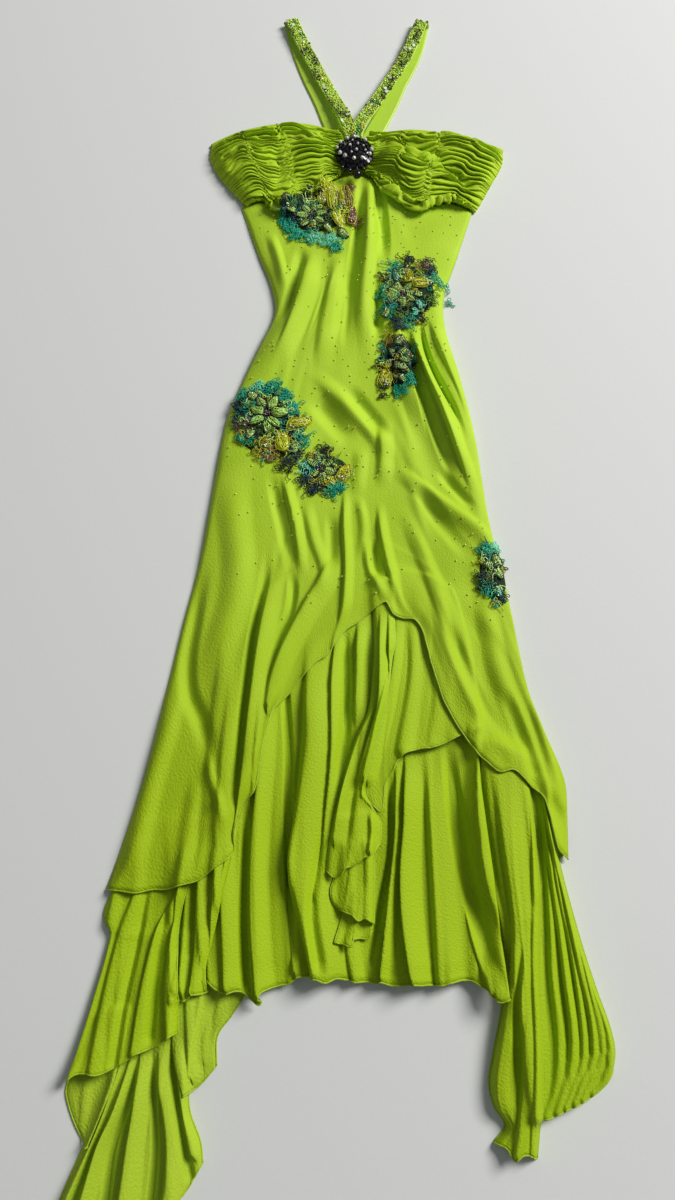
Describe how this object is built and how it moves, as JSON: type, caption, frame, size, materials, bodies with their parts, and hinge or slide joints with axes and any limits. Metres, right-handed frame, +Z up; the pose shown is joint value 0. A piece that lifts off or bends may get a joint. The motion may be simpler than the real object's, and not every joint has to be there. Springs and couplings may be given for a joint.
{
  "type": "chiffon prom dress",
  "caption": "Halter evening dress in lime chiffon laid flat on its back: ruched bust, beaded straps, petal overskirt, side trains.",
  "frame": {"origin": "on the surface that the dress lies on, under the middle of its overall length and width", "axes": "+Y along the dress towards the neck, +X to the right of someone who looks down at its front from the hem, +Z up out of its front"},
  "size_m": [0.5808, 1.6078, 0.0516],
  "materials": {
    "chiffon": "lime silk chiffon over a lining, soft sheen",
    "chiffon_single": "one layer of lime silk chiffon, slightly sheer",
    "ruched_chiffon": "lime chiffon, ruched in fine pleats",
    "beaded_band": "satin band with green and silver beads",
    "jet_and_pearl": "faceted black beads with round grey pearls",
    "embroidery": "teal yarn, green padded petals, gold thread and beads"
  },
  "bodies": {
    "root": {"back_panel": "chiffon", "train_left": "chiffon_single", "train_left_outer_flap": "chiffon_single", "train_left_inner_flap": "chiffon_single", "train_right": "chiffon", "train_right_flap": "chiffon", "underskirt": "chiffon", "tier_left_inner": "chiffon", "tier_left_outer": "chiffon", "middle_petal": "chiffon", "cascade_lower": "chiffon", "cascade_upper": "chiffon", "front_overskirt": "chiffon", "strap_left": "beaded_band", "strap_right": "beaded_band", "cup_left": "ruched_chiffon", "cup_right": "ruched_chiffon", "brooch": "jet_and_pearl", "patch_bust": "embroidery", "patch_waist_upper": "embroidery", "patch_waist_lower": "embroidery", "patch_hip": "embroidery", "patch_hip_small": "embroidery", "patch_thigh": "embroidery"}
  },
  "joints": []
}
